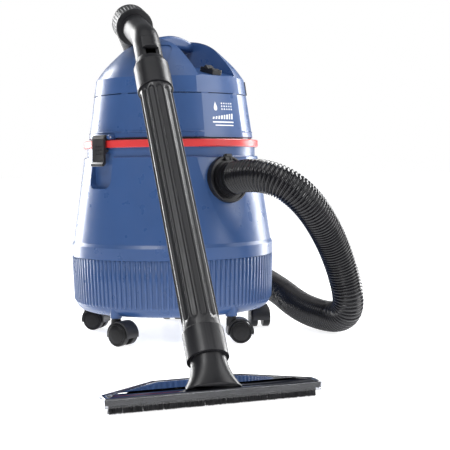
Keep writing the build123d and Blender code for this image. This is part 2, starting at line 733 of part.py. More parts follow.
def motor_deck():
    low = RING_Z + RING_HEIGHT
    plate = at(0, 0, low) * rod(HEAD_BOTTOM_RADIUS - 3.4, DECK_THICKNESS)
    seat = at(0, 0, low) * tube_solid(FAN_CASE_RADIUS + 4, FAN_CASE_RADIUS + 0.6, 15)
    mouth = at(0, 0, low - 1) * rod(34, 12)
    plate = plate + seat - mouth
    limit = front_limit(HEAD_WALL, low - 1, low + 30, head_front(low - 1), head_front(low + 30))
    return plate & limit


def motor_gasket():
    low = RING_Z + RING_HEIGHT + DECK_THICKNESS
    return at(0, 0, low) * tube_solid(FAN_CASE_RADIUS + 0.4, 40, MOTOR_SEAT_Z - low)


def fan_case():
    case = rod(FAN_CASE_RADIUS, FAN_CASE_HEIGHT)
    room = at(0, 0, 2) * rod(FAN_CASE_RADIUS - 2, FAN_CASE_HEIGHT - 4)
    eye = at(0, 0, -1) * rod(28, 5)
    top_hole = at(0, 0, FAN_CASE_HEIGHT - 5) * rod(BEARING_RADIUS + 0.02, 8)
    case = case - room - eye - top_hole
    for step in range(8):
        vent = at(FAN_CASE_RADIUS - 14, 0, FAN_CASE_HEIGHT - 5) * rod(5, 8)
        case = case - turned(step * 45, vent)
    return at(0, 0, MOTOR_SEAT_Z) * case


def fan_impeller():
    hub = tube_solid(9, SHAFT_RADIUS, 20)
    lower = at(0, 0, 0) * tube_solid(FAN_CASE_RADIUS - 8, 22, 1.6)
    upper = at(0, 0, 16) * tube_solid(FAN_CASE_RADIUS - 8, SHAFT_RADIUS, 1.6)
    fan = hub + upper
    for step in range(9):
        vane = at(36, 0, 1.4) * Box(50, 1.6, 15.0, align=(Align.CENTER, Align.CENTER, Align.MIN))
        fan = fan + turned(step * 40, vane)
    fan = fan + lower
    return at(0, 0, MOTOR_SEAT_Z + 6) * fan


def motor_rotor():
    base = MOTOR_SEAT_Z
    shaft = at(0, 0, base + 4) * rod(SHAFT_RADIUS, MOTOR_TOP_Z - base - 8)
    core = at(0, 0, base + FAN_CASE_HEIGHT + 7) * rod(ROTOR_RADIUS, STATOR_HEIGHT - 8)
    commutator = at(0, 0, base + FAN_CASE_HEIGHT + STATOR_HEIGHT + 2) * rod(13, 9)
    return shaft + core + commutator


def motor_stator():
    low = MOTOR_SEAT_Z + FAN_CASE_HEIGHT
    ring = at(0, 0, low) * tube_solid(STATOR_RADIUS, ROTOR_RADIUS + 1.2, STATOR_HEIGHT)
    flats = at(0, 0, low) * Box(2 * STATOR_RADIUS + 2, 74, STATOR_HEIGHT,
                                align=(Align.CENTER, Align.CENTER, Align.MIN))
    return ring & flats


def motor_end_frame():
    low = MOTOR_SEAT_Z + FAN_CASE_HEIGHT + STATOR_HEIGHT
    bar = at(0, 0, MOTOR_TOP_Z - 8) * Box(80, 20, 8, align=(Align.CENTER, Align.CENTER, Align.MIN))
    for x in (-37, 37):
        bar = bar + at(x, 0, low) * Box(6, 20, MOTOR_TOP_Z - low, align=(Align.CENTER, Align.CENTER, Align.MIN))
    seat = at(0, 0, MOTOR_TOP_Z - 9) * rod(BEARING_RADIUS + 4, 9)
    pocket = at(0, 0, MOTOR_TOP_Z - 10) * rod(BEARING_RADIUS, 8)
    return bar + seat - pocket


def motor_bearings():
    upper = at(0, 0, MOTOR_TOP_Z - 9) * tube_solid(BEARING_RADIUS - 0.02, SHAFT_RADIUS + 0.03, 6.5)
    lower = at(0, 0, MOTOR_SEAT_Z + FAN_CASE_HEIGHT - 4) * tube_solid(BEARING_RADIUS, SHAFT_RADIUS + 0.03, 7)
    return group([upper, lower])


def filter_cage():
    # Slotted basket under the deck that carries the filter and guides the float.
    top = RING_Z + RING_HEIGHT
    low = top - FILTER_HEIGHT
    wall = at(0, 0, low) * tube_solid(FILTER_RADIUS - 6, FILTER_RADIUS - 9, FILTER_HEIGHT)
    rim = at(0, 0, top - 3) * tube_solid(FILTER_RADIUS + 8, FLOAT_SEAT, 3)
    floor_ring = at(0, 0, low) * tube_solid(FILTER_RADIUS - 7, 12, 2.5)
    cage = wall + rim + floor_ring
    for step in range(8):
        slot = at(FILTER_RADIUS - 7.5, 0, low + 10) * Box(
            12, 22, FILTER_HEIGHT - 30, align=(Align.CENTER, Align.CENTER, Align.MIN))
        cage = cage - turned(step * 45, slot)
    for step in range(4):
        guide = at(FLOAT_RADIUS + 2.2, 0, low + 2) * Box(
            3, 3, FILTER_HEIGHT - 4, align=(Align.CENTER, Align.CENTER, Align.MIN))
        cage = cage + turned(step * 90, guide)
    return cage


def filter_sleeve():
    top = RING_Z + RING_HEIGHT - 3.2
    low = RING_Z + RING_HEIGHT - FILTER_HEIGHT
    sleeve = at(0, 0, low) * tube_solid(FILTER_RADIUS, FILTER_RADIUS - 5.8, top - low)
    return sleeve


def float_ball():
    low = RING_Z + RING_HEIGHT - FILTER_HEIGHT
    return at(0, 0, low + FLOAT_RADIUS + 4) * Sphere(FLOAT_RADIUS)


def cable_gland():
    # Strain relief for the mains lead, clamped in the wall with a flange and a tapered boot.
    body = tube_solid(GLAND_RADIUS, LEAD_RADIUS, 12)
    flange = at(0, 0, 10.8) * tube_solid(GLAND_RADIUS + 3.5, LEAD_RADIUS, 3.4)
    boot = at(0, 0, 13) * Cone(7.5, 5.2, 23, align=(Align.CENTER, Align.CENTER, Align.MIN))
    boot = boot - at(0, 0, 12) * rod(LEAD_RADIUS, 30)
    gland = body + flange + boot
    return turned(90, at(head_radius(GLAND_Z) - 9.2, 0, GLAND_Z) * Rotation(0, 90, 0) * gland)


def head_screws():
    screws = []
    low = RING_Z + RING_HEIGHT + DECK_THICKNESS
    for step in range(6):
        head = at(0, 0, low) * rod(4.0, 2.6)
        screws.append(turned(step * 60 + 30, at(128, 0, 0) * head))
    return group(screws)


# ---- wand and grip ----
def wand_tube():
    # Fluted suction tube; each flute runs out with a rounded end.
    length = TUBE_END - TUBE_START
    outer = rod(TUBE_RADIUS, length)
    for step in range(FLUTE_COUNT):
        flute = rod(FLUTE_RADIUS, FLUTE_END - FLUTE_START)
        flute = fillet(flute.edges(), FLUTE_RADIUS - 0.1)
        flute = at(TUBE_RADIUS + FLUTE_RADIUS - FLUTE_DEPTH, 0, FLUTE_START - TUBE_START) * flute
        outer = outer - turned(step * 360 / FLUTE_COUNT, flute)
    tube = outer - at(0, 0, -1) * rod(TUBE_RADIUS - TUBE_WALL - FLUTE_DEPTH, length + 2)
    return wand_location() * at(0, 0, TUBE_START) * tube


def wand_collar():
    outer = TUBE_RADIUS + SLEEVE_FIT + COLLAR_WALL
    sleeve = rod(outer, COLLAR_END - COLLAR_START)
    sleeve = fillet(sleeve.edges().group_by(Axis.Z)[-1], 1.0)
    sleeve = sleeve - at(0, 0, TUBE_START - COLLAR_START) * rod(TUBE_RADIUS + SLEEVE_FIT, 100)
    sleeve = sleeve - at(0, 0, -1) * rod(NECK_RADIUS_TOP + 0.05, 100)
    return wand_location() * at(0, 0, COLLAR_START) * sleeve


def grip_path(start_z):
    axis = grip_arm_axis()
    mouth = (0, axis[1] * GRIP_ARM, GRIP_BEND_AT + axis[2] * GRIP_ARM)
    return FilletPolyline((0, 0, start_z), (0, 0, GRIP_BEND_AT), mouth, radius=GRIP_BEND_RADIUS)


def hand_grip():
    # The swept grip starts inside the sleeve; its bore starts lower, inside the socket.
    start_z = TUBE_END + 6
    start = Plane(origin=(0, 0, start_z), z_dir=(0, 0, 1))
    outer = sweep(start * Circle(GRIP_RADIUS), grip_path(start_z))
    low_z = start_z - 20
    start = Plane(origin=(0, 0, low_z), z_dir=(0, 0, 1))
    inner = sweep(start * Circle(GRIP_RADIUS - GRIP_WALL), grip_path(low_z))
    sleeve_outer = TUBE_RADIUS + SLEEVE_FIT + COLLAR_WALL
    sleeve_top = TUBE_END + 20
    sleeve = at(0, 0, GRIP_START) * rod(sleeve_outer, sleeve_top - 6 - GRIP_START)
    sleeve = fillet(sleeve.edges().group_by(Axis.Z)[0], 1.0)
    cone = at(0, 0, sleeve_top - 6) * Cone(
        sleeve_outer, GRIP_RADIUS + 0.3, GRIP_TAPER, align=(Align.CENTER, Align.CENTER, Align.MIN))
    socket = at(0, 0, GRIP_START - 1) * rod(TUBE_RADIUS + SLEEVE_FIT, TUBE_END + 0.4 - GRIP_START + 1)
    body = outer + sleeve + cone - inner - socket
    # Window on the top side, with a flat seat that the air slide runs on.
    length = WINDOW_END - WINDOW_START
    seat_y = GRIP_RADIUS - WINDOW_DEPTH
    seat = at(0, seat_y, WINDOW_START) * Box(
        WINDOW_WIDTH, 20, length, align=(Align.CENTER, Align.MIN, Align.MIN))
    opening = at(0, seat_y - 8, WINDOW_START + 4) * Box(
        WINDOW_WIDTH - 10, 24, length * 0.36, align=(Align.CENTER, Align.MIN, Align.MIN))
    lining = at(0, seat_y - 3, WINDOW_START - 2) * Box(
        WINDOW_WIDTH + 6, 3, length + 4, align=(Align.CENTER, Align.MIN, Align.MIN))
    lining = lining & at(0, 0, WINDOW_START - 3) * rod(GRIP_RADIUS - 1, length + 6)
    body = body - seat + lining - opening
    return wand_location() * body


def air_regulator():
    # Curved slide that covers or uncovers the bleed opening in the grip's window.
    start = WINDOW_END - REGULATOR_LENGTH - 1.0
    foot_y = GRIP_RADIUS - WINDOW_DEPTH + 0.4
    slab = at(0, foot_y, start) * Box(
        WINDOW_WIDTH - 1.0, 12, REGULATOR_LENGTH, align=(Align.CENTER, Align.MIN, Align.MIN))
    slide = slab & at(0, 0, start - 1) * rod(GRIP_RADIUS + 0.6, REGULATOR_LENGTH + 2)
    ridge = at(0, foot_y, start) * Box(
        WINDOW_WIDTH - 5, 12, 3, align=(Align.CENTER, Align.MIN, Align.MIN))
    ridge = ridge & at(0, 0, start) * rod(GRIP_RADIUS + 2.2, 2.6)
    return wand_location() * (slide + ridge)


def hose_cuff():
    # Ribbed nut that joins the hose to the mouth of the grip.
    body = at(0, 0, -CUFF_OVERLAP) * rod(CUFF_RADIUS, CUFF_LENGTH)
    body = fillet(body.edges(), 2.0)
    for step in range(CUFF_RIBS):
        groove = at(CUFF_RADIUS + 0.5, 0, 5 - CUFF_OVERLAP) * rod(1.4, CUFF_LENGTH - 14)
        body = body - turned(step * 360 / CUFF_RIBS, groove)
    mouth = at(0, 0, -CUFF_OVERLAP - 1) * rod(GRIP_RADIUS + SLEEVE_FIT, CUFF_OVERLAP + 1.2)
    bore = at(0, 0, -1) * rod(GRIP_RADIUS - GRIP_WALL, CUFF_LENGTH + 2)
    seat = at(0, 0, CUFF_LENGTH - CUFF_OVERLAP - CUFF_SEAT) * rod(HOSE_RADIUS + SLEEVE_FIT, CUFF_SEAT + 9)
    return cuff_location() * (body - mouth - bore - seat)


# ---- floor tool ----
def tool_plan(inset, front):
    # Outline seen from above; front sets the front edge and both ends further back.
    half = TOOL_WIDTH / 2 - inset - front
    back_half = TOOL_BACK_HALF - inset * 0.4
    return Polyline(
        (-half, inset + front, 0),
        (half, inset + front, 0),
        (half, TOOL_END_DEPTH - inset, 0),
        (back_half, TOOL_DEPTH - inset, 0),
        (-back_half, TOOL_DEPTH - inset, 0),
        (-half, TOOL_END_DEPTH - inset, 0),
        close=True,
    )


def tool_body():
    # Low triangular housing; the suction channel runs the full width underneath.
    height = TOOL_HEIGHT - TOOL_UNDERSIDE_Z
    front = RAIL_THICKNESS + 0.05
    block = at(0, 0, TOOL_UNDERSIDE_Z) * extrude(make_face(tool_plan(0, front)), amount=height)
    block = chamfer(block.edges().group_by(Axis.Z)[-1], 2.4)
    hollow = extrude(make_face(tool_plan(TOOL_WALL, front)), amount=height - TOOL_WALL + 1)
    body = block - at(0, 0, TOOL_UNDERSIDE_Z - 1) * hollow
    duct = wand_in_tool() * at(0, 0, -40) * rod(NECK_RADIUS_TOP - GRIP_WALL, 90)
    return tool_location() * (body - duct)


def tool_rail():
    # Clear rail along the front edge and round both ends, in front of the bristles.
    band = extrude(make_face(tool_plan(0, 0)), amount=RAIL_TOP_Z - RAIL_BOTTOM_Z)
    inside = at(0, 0, -1) * extrude(make_face(tool_plan(0, RAIL_THICKNESS)), amount=40)
    beyond = at(0, TOOL_END_DEPTH - 2, -1) * Box(400, 100, 40, align=(Align.CENTER, Align.MIN, Align.MIN))
    return tool_location() * at(0, 0, RAIL_BOTTOM_Z) * (band - inside - beyond)


def wand_in_tool():
    return tool_location().inverse() * wand_location()


def tool_neck():
    # Socket that rises from the housing along the wand's line.
    tube = at(0, 0, -14) * rod(NECK_RADIUS_TOP, TUBE_START - 0.4 + 14)
    flare = at(0, 0, -16) * Cone(34, NECK_RADIUS_TOP, 34, align=(Align.CENTER, Align.CENTER, Align.MIN))
    bore = at(0, 0, -40) * rod(NECK_RADIUS_TOP - GRIP_WALL, 200)
    neck = wand_in_tool() * (tube + flare - bore)
    ground = at(0, 0, TOOL_HEIGHT - 100) * Box(400, 400, 100, align=(Align.CENTER, Align.CENTER, Align.MIN))
    return tool_location() * (neck - ground)


def tool_sole():
    # Bottom frame with the open suction mouth between the two bristle strips.
    plate = extrude(make_face(tool_plan(TOOL_WALL + 0.05, RAIL_THICKNESS + 0.05)), amount=TOOL_WALL)
    mouth = at(0, 16, -1) * Box(TOOL_WIDTH - 40, 13, 6, align=(Align.CENTER, Align.MIN, Align.MIN))
    return tool_location() * at(0, 0, TOOL_UNDERSIDE_Z) * (plate - mouth)


def tool_bristles():
    height = TOOL_UNDERSIDE_Z
    front = at(0, 6.8, 0) * Box(TOOL_WIDTH - 16, 6, height, align=(Align.CENTER, Align.MIN, Align.MIN))
    rear = at(0, 31, 0) * Box(TOOL_WIDTH - 60, 5, height, align=(Align.CENTER, Align.MIN, Align.MIN))
    return tool_location() * group([front, rear])


# ---- hose ----
def hose_route():
    start = port_location() * at(0, 0, HOSE_SEAT)
    lead_out = port_location() * at(0, 0, HOSE_SEAT + HOSE_LEAD_OUT)
    seat = CUFF_LENGTH - CUFF_OVERLAP - CUFF_SEAT + 0.3
    lead_in = cuff_location() * at(0, 0, seat + HOSE_LEAD_IN)
    end = cuff_location() * at(0, 0, seat)
    points = [start.position, lead_out.position]
    points += [Vector(*point) for point in HOSE_POINTS]
    return points + [lead_in.position, end.position]


def bend_radii(points):
    # Each bend takes nine tenths of the shorter straight run beside it.
    radii = []
    for before, corner, after in zip(points, points[1:], points[2:]):
        run_in = corner - before
        run_out = after - corner
        half_turn = math.radians(run_in.get_angle(run_out)) / 2
        radii.append(0.45 * min(run_in.length, run_out.length) / math.tan(half_turn))
    return radii


def hose():
    points = hose_route()
    path = FilletPolyline(*points, radius=bend_radii(points))
    section = Plane(origin=points[0], z_dir=path % 0) * Circle(HOSE_RADIUS)
    return sweep(section, path)


def parts():
    nodes = {
        "tank_shell": tank_shell(),
        "tank_rim_ring": tank_rim_ring(),
        "port_flange": port_flange(),
        "port_release_tab": port_release_tab(),
        "hose_connector": hose_connector(),
        "inlet_deflector": inlet_deflector(),
        "castor_sockets": castor_sockets(),
        "head_shell": head_shell(),
        "motor_deck": turned(HEAD_TURN, motor_deck()),
        "top_cover": turned(HEAD_TURN, top_cover()),
        "carry_handle": turned(HEAD_TURN, carry_handle()),
        "switch_bezel": turned(HEAD_TURN, switch_bezel()),
        "switch_rocker": turned(HEAD_TURN, switch_rocker()),
        "exhaust_grille": turned(HEAD_TURN, exhaust_grille()),
        "cable_gland": cable_gland(),
        "motor_gasket": motor_gasket(),
        "fan_case": fan_case(),
        "fan_impeller": fan_impeller(),
        "motor_rotor": motor_rotor(),
        "motor_stator": motor_stator(),
        "motor_end_frame": motor_end_frame(),
        "motor_bearings": motor_bearings(),
        "filter_cage": filter_cage(),
        "filter_sleeve": filter_sleeve(),
        "float_ball": float_ball(),
        "latch_left": turned(HEAD_TURN, latch(-1)),
        "latch_right": turned(HEAD_TURN, latch(1)),
        "latch_pins": latch_pins(),
        "head_screws": head_screws(),
        "wand_tube": wand_tube(),
        "wand_collar": wand_collar(),
        "hand_grip": hand_grip(),
        "air_regulator": air_regulator(),
        "hose_cuff": hose_cuff(),
        "tool_body": tool_body(),
        "tool_rail": tool_rail(),
        "tool_neck": tool_neck(),
        "tool_sole": tool_sole(),
        "tool_bristles": tool_bristles(),
        "hose": hose(),
    }
    for index in range(CASTOR_COUNT):
        number = index + 1
        nodes[f"castor_hood_{number}"] = castor_hood(index)
        nodes[f"castor_axle_{number}"] = castor_axle(index)
        nodes[f"castor_wheel_{number}a"] = castor_wheel(index, -1)
        nodes[f"castor_wheel_{number}b"] = castor_wheel(index, 1)
    return nodes


os.makedirs("parts", exist_ok=True)
for name, shape in parts().items():
    export_step(shape, f"parts/{name}.step")
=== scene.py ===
# %% [markdown]
# # Wet and dry canister vacuum
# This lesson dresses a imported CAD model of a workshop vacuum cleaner. The CAD bodies give every position,
# and each cell below adds one piece or one finish on top of them. Lengths are in metres.

# %% Load the frame
import json
import math

import bmesh
import bpy
from mathutils import Euler, Matrix, Vector


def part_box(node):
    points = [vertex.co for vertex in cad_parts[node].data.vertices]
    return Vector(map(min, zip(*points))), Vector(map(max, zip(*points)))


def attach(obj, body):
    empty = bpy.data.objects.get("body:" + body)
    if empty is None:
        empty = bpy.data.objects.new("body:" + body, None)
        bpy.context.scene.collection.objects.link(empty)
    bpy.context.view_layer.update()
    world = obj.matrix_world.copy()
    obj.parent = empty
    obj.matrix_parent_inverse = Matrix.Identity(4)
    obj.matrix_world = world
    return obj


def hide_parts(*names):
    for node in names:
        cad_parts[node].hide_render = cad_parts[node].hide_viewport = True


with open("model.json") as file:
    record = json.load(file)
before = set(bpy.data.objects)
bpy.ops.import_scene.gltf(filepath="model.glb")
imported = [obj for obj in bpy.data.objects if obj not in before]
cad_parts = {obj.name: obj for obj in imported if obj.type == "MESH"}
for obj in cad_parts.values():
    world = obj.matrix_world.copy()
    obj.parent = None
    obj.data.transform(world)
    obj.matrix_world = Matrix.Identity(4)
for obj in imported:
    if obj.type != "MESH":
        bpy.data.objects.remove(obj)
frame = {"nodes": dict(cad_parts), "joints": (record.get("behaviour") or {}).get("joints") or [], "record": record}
nodes = frame["nodes"]
record = frame["record"]
joints = {joint["name"]: joint for joint in frame["joints"]}
mounts = {mount["name"]: mount for mount in record["mounts"]}
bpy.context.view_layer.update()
scene = bpy.context.scene
MM = 0.001

# %% [markdown]
# ## Camera
# The camera stands low, a little over half the machine's height, about two metres away and off to the
# left of its front. A lens longer than normal keeps the round tank from bulging.

# %% Camera
LENS_MM, SENSOR_MM = 82.9, 36.0
CAMERA_PLACE = (-1.1600, -1.5966, 0.3126)
HEADING, PITCH, ROLL = math.radians(-38.91), math.radians(86.79), math.radians(-0.74)

camera_data = bpy.data.cameras.new("camera")
camera_data.lens = LENS_MM
camera_data.sensor_width = SENSOR_MM
camera = bpy.data.objects.new("camera", camera_data)
scene.collection.objects.link(camera)
turn = Matrix.Rotation(HEADING, 4, "Z") @ Matrix.Rotation(PITCH, 4, "X") @ Matrix.Rotation(ROLL, 4, "Z")
camera.matrix_world = Matrix.Translation(CAMERA_PLACE) @ turn
scene.camera = camera
scene.view_settings.view_transform = "Standard"
print("camera", [round(v, 3) for v in camera.location])

# %% [markdown]
# ## Materials as node trees
# Moulded plastic is never one flat colour. A slow noise shifts the colour and the gloss a little, a fine
# noise gives the grain of the mould, and convex edges are painted lighter as a painted highlight. All
# patterns read Object coordinates, so they stay on a piece when its body moves.

# %% A helper for moulded plastic
NOISE_RANGE = (0.3, 0.7)
EDGE_RANGE = (0.54, 0.66)
COLOUR_PATCHES, GLOSS_PATCHES = 9, 38
GRAIN_STRENGTH = 0.35
COAT_ROUGHNESS = 0.08


def wire(tree, source, target):
    tree.links.new(source, target)


def noise(tree, scale, detail=2.0):
    place = tree.nodes.new("ShaderNodeTexCoord")
    texture = tree.nodes.new("ShaderNodeTexNoise")
    texture.inputs["Scale"].default_value = scale
    texture.inputs["Detail"].default_value = detail
    wire(tree, place.outputs["Object"], texture.inputs["Vector"])
    return texture.outputs["Fac"]


def spread(tree, value, source, target=(0.0, 1.0)):
    fit = tree.nodes.new("ShaderNodeMapRange")
    for label, number in zip(("From Min", "From Max", "To Min", "To Max"), (*source, *target)):
        fit.inputs[label].default_value = number
    wire(tree, value, fit.inputs["Value"])
    return fit.outputs["Result"]


def blend_colours(tree, share, first, second):
    mix = tree.nodes.new("ShaderNodeMix")
    mix.data_type = "RGBA"
    wire(tree, share, mix.inputs[0])
    for socket, colour in ((mix.inputs[6], first), (mix.inputs[7], second)):
        if isinstance(colour, tuple):
            socket.default_value = (*colour, 1.0)
        else:
            wire(tree, colour, socket)
    return mix.outputs[2]


def painted_edge_highlight(tree):
    # Pointiness picks out convex edges, where a highlight is painted into the colour.
    shape = tree.nodes.new("ShaderNodeNewGeometry")
    return spread(tree, shape.outputs["Pointiness"], EDGE_RANGE)


def moulded(name, colour, rough, grain, grain_depth, shift, painted_edge_colour=None, coat=0.0,
            specular=0.5, metal=0.0, clear=0.0):
    material = bpy.data.materials.new(name)
    material.use_nodes = True
    tree = material.node_tree
    shader = tree.nodes["Principled BSDF"]
    shader.inputs["Specular IOR Level"].default_value = specular
    shader.inputs["Coat Weight"].default_value = coat
    shader.inputs["Coat Roughness"].default_value = COAT_ROUGHNESS
    shader.inputs["Metallic"].default_value = metal
    shader.inputs["Transmission Weight"].default_value = clear
    slow = noise(tree, COLOUR_PATCHES)
    darker = tuple(c * (1 - shift) for c in colour)
    lighter = tuple(min(1, c * (1 + shift)) for c in colour)
    tint = blend_colours(tree, spread(tree, slow, NOISE_RANGE), darker, lighter)
    # Convex edges take a lighter colour: a painted highlight, not wear.
    if painted_edge_colour:
        tint = blend_colours(tree, painted_edge_highlight(tree), tint, painted_edge_colour)
    wire(tree, tint, shader.inputs["Base Color"])
    gloss = spread(tree, noise(tree, GLOSS_PATCHES, 3), NOISE_RANGE, rough)
    wire(tree, gloss, shader.inputs["Roughness"])
    bump = tree.nodes.new("ShaderNodeBump")
    bump.inputs["Strength"].default_value = GRAIN_STRENGTH
    bump.inputs["Distance"].default_value = grain_depth * MM
    wire(tree, noise(tree, grain), bump.inputs["Height"])
    wire(tree, bump.outputs["Normal"], shader.inputs["Normal"])
    return material


# %% The finishes of this machine
# The lighter edge colours given below are painted highlights on convex edges.
BLUE = moulded("blue_shell", (0.033, 0.080, 0.215), (0.26, 0.36), 700, 0.012, 0.06)
RED = moulded("red_ring", (0.52, 0.014, 0.018), (0.28, 0.40), 1100, 0.04, 0.08, painted_edge_colour=(0.80, 0.10, 0.09))
BLACK = moulded("black_fitting", (0.009, 0.009, 0.011), (0.28, 0.40), 1500, 0.08, 0.2,
                painted_edge_colour=(0.030, 0.030, 0.033), specular=0.3)
TUBE_BLACK = moulded("tube_black", (0.008, 0.008, 0.010), (0.30, 0.44), 1200, 0.10, 0.25,
                     painted_edge_colour=(0.055, 0.055, 0.060))
HOSE_BLACK = moulded("hose_black", (0.006, 0.006, 0.008), (0.16, 0.26), 700, 0.05, 0.2,
                     painted_edge_colour=(0.022, 0.023, 0.027), specular=0.4)
TOOL_GLOSS = moulded("tool_gloss", (0.006, 0.007, 0.013), (0.04, 0.10), 300, 0.01, 0.2,
                     painted_edge_colour=(0.03, 0.032, 0.04), coat=1.0)
WHEEL = moulded("wheel_black", (0.009, 0.009, 0.010), (0.32, 0.45), 1400, 0.10, 0.2,
                painted_edge_colour=(0.028, 0.028, 0.031), specular=0.25)
STEEL = moulded("bright_steel", (0.55, 0.55, 0.56), (0.22, 0.36), 600, 0.02, 0.05, metal=1.0)
ALUMINIUM = moulded("pressed_aluminium", (0.74, 0.75, 0.77), (0.30, 0.45), 500, 0.03, 0.05, metal=1.0)
FOAM = moulded("filter_foam", (0.50, 0.50, 0.46), (0.85, 0.95), 420, 0.9, 0.2)
CLEAR = moulded("clear_rail", (0.42, 0.43, 0.46), (0.02, 0.06), 300, 0.01, 0.02, clear=1.0)
SEAL = moulded("rubber_seal", (0.02, 0.02, 0.02), (0.6, 0.75), 900, 0.1, 0.2)
FLOAT_WHITE = moulded("float_white", (0.78, 0.78, 0.75), (0.35, 0.5), 900, 0.04, 0.05)

# %% Dress the CAD nodes
finishes = {
    "blue_plastic": BLUE,
    "red_plastic": RED,
    "black_plastic": BLACK,
    "tool_gloss": TOOL_GLOSS,
    "clear_plastic": CLEAR,
    "hose_black": HOSE_BLACK,
    "bristle_black": BLACK,
    "castor_black": BLACK,
    "wheel_black": WHEEL,
    "steel": STEEL,
    "aluminium": ALUMINIUM,
    "filter_foam": FOAM,
    "rubber_seal": SEAL,
    "float_white": FLOAT_WHITE,
}
for part in record["subparts"]:
    piece = nodes[part["node"]]
    piece.data.materials.clear()
    piece.data.materials.append(finishes[part["material_slot"]])
print("dressed", len(record["subparts"]), "CAD nodes")

# %% [markdown]
# ## Helpers for new pieces
# A finished piece keeps its object at the origin with its place in its mesh. Geometry Nodes trees repeat
# what repeats, and their result is turned into a plain mesh before the piece rides on its body.

# %% Make a mesh piece
def link(name, mesh):
    piece = bpy.data.objects.new(name, mesh)
    scene.collection.objects.link(piece)
    return piece


def mesh_piece(name, points, faces, smooth=True):
    mesh = bpy.data.meshes.new(name)
    mesh.from_pydata(points, [], faces)
    shell = bmesh.new()
    shell.from_mesh(mesh)
    bmesh.ops.remove_doubles(shell, verts=shell.verts, dist=1e-6)
    bmesh.ops.recalc_face_normals(shell, faces=shell.faces)
    shell.to_mesh(mesh)
    shell.free()
    for face in mesh.polygons:
        face.use_smooth = smooth
    return link(name, mesh)


def finish_piece(piece, body, material=None, stands_for=()):
    if material is not None:
        piece.data.materials.clear()
        piece.data.materials.append(material)
    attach(piece, body)
    if stands_for:
        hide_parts(*stands_for)


# %% Turn a live object into a plain mesh
def plain_mesh(piece):
    bpy.context.view_layer.update()
    graph = bpy.context.evaluated_depsgraph_get()
    result = bpy.data.meshes.new_from_object(piece.evaluated_get(graph))
    name = piece.name
    bpy.data.objects.remove(piece)
    result.name = name
    return link(name, result)


# %% Start a Geometry Nodes tree with named inputs
def start_tree(name, inputs):
    tree = bpy.data.node_groups.new(name, "GeometryNodeTree")
    tree.interface.new_socket("Geometry", in_out="INPUT", socket_type="NodeSocketGeometry")
    for label, kind, value in inputs:
        socket = tree.interface.new_socket(label, in_out="INPUT", socket_type=kind)
        if value is not None:
            socket.default_value = value
    tree.interface.new_socket("Geometry", in_out="OUTPUT", socket_type="NodeSocketGeometry")
    entry = tree.nodes.new("NodeGroupInput")
    leave = tree.nodes.new("NodeGroupOutput")
    return tree, entry.outputs, leave.inputs["Geometry"]


def end_tree(tree, geometry, material, leave):
    realize = tree.nodes.new("GeometryNodeRealizeInstances")
    paint = tree.nodes.new("GeometryNodeSetMaterial")
    wire(tree, geometry, realize.inputs["Geometry"])
    wire(tree, realize.outputs["Geometry"], paint.inputs["Geometry"])
    wire(tree, material, paint.inputs["Material"])
    wire(tree, paint.outputs["Geometry"], leave)


def grow(piece, tree, values):
    modifier = piece.modifiers.new(tree.name, "NODES")
    modifier.node_group = tree
    for item in tree.interface.items_tree:
        if item.in_out == "INPUT" and item.name in values:
            modifier[item.identifier] = values[item.name]
    return plain_mesh(piece)


def calculate(tree, operation, *values):
    node = tree.nodes.new("ShaderNodeMath")
    node.operation = operation
    for socket, value in zip(node.inputs, values):
        if isinstance(value, (int, float)):
            socket.default_value = value
        else:
            wire(tree, value, socket)
    return node.outputs["Value"]


# %% [markdown]
# ## The hose
# The hose is a tube of 58 mm with round rings 6 mm apart. Its centre line is one smooth NURBS curve, steered
# by listed control points, from the port to the nut on the hand grip. Geometry Nodes read that
# line, make the radius rise and fall along it, and sweep a circle, so every ring follows the bend.

# %% The hose's line
HOSE_DIAMETER = 58 * MM
RING_PITCH = 6 * MM
RING_DEPTH = 3.4 * MM
SAMPLES_PER_RING = 8.0
LINE_STEPS = 24
HOSE_ROUTE = [
    (0.0, -193.9, 294.0),
    (0.0, -257.2, 303.5),
    (56.0, -309.0, 264.0),
    (164.0, -281.0, 157.0),
    (204.0, -279.0, 30.0),
    (210.0, -146.0, 29.5),
    (272.0, 24.0, 67.0),
    (205.0, 150.0, 130.0),
    (152.0, 224.0, 290.0),
    (122.0, 236.0, 440.0),
    (58.0, 188.0, 556.0),
    (-86.5, 10.9, 584.4),
    (-103.6, -28.3, 570.5),
]


def nurbs_line(name, route):
    curve = bpy.data.curves.new(name, "CURVE")
    curve.dimensions = "3D"
    curve.resolution_u = LINE_STEPS
    line = curve.splines.new("NURBS")
    line.points.add(len(route) - 1)
    for point, place in zip(line.points, route):
        point.co = (*[value * MM for value in place], 1.0)
    line.order_u = 3
    line.use_endpoint_u = True
    return link(name, curve)


def line_points(curve_piece):
    mesh = bpy.data.meshes.new_from_object(curve_piece)
    points = [vertex.co.copy() for vertex in mesh.vertices]
    bpy.data.meshes.remove(mesh)
    return points


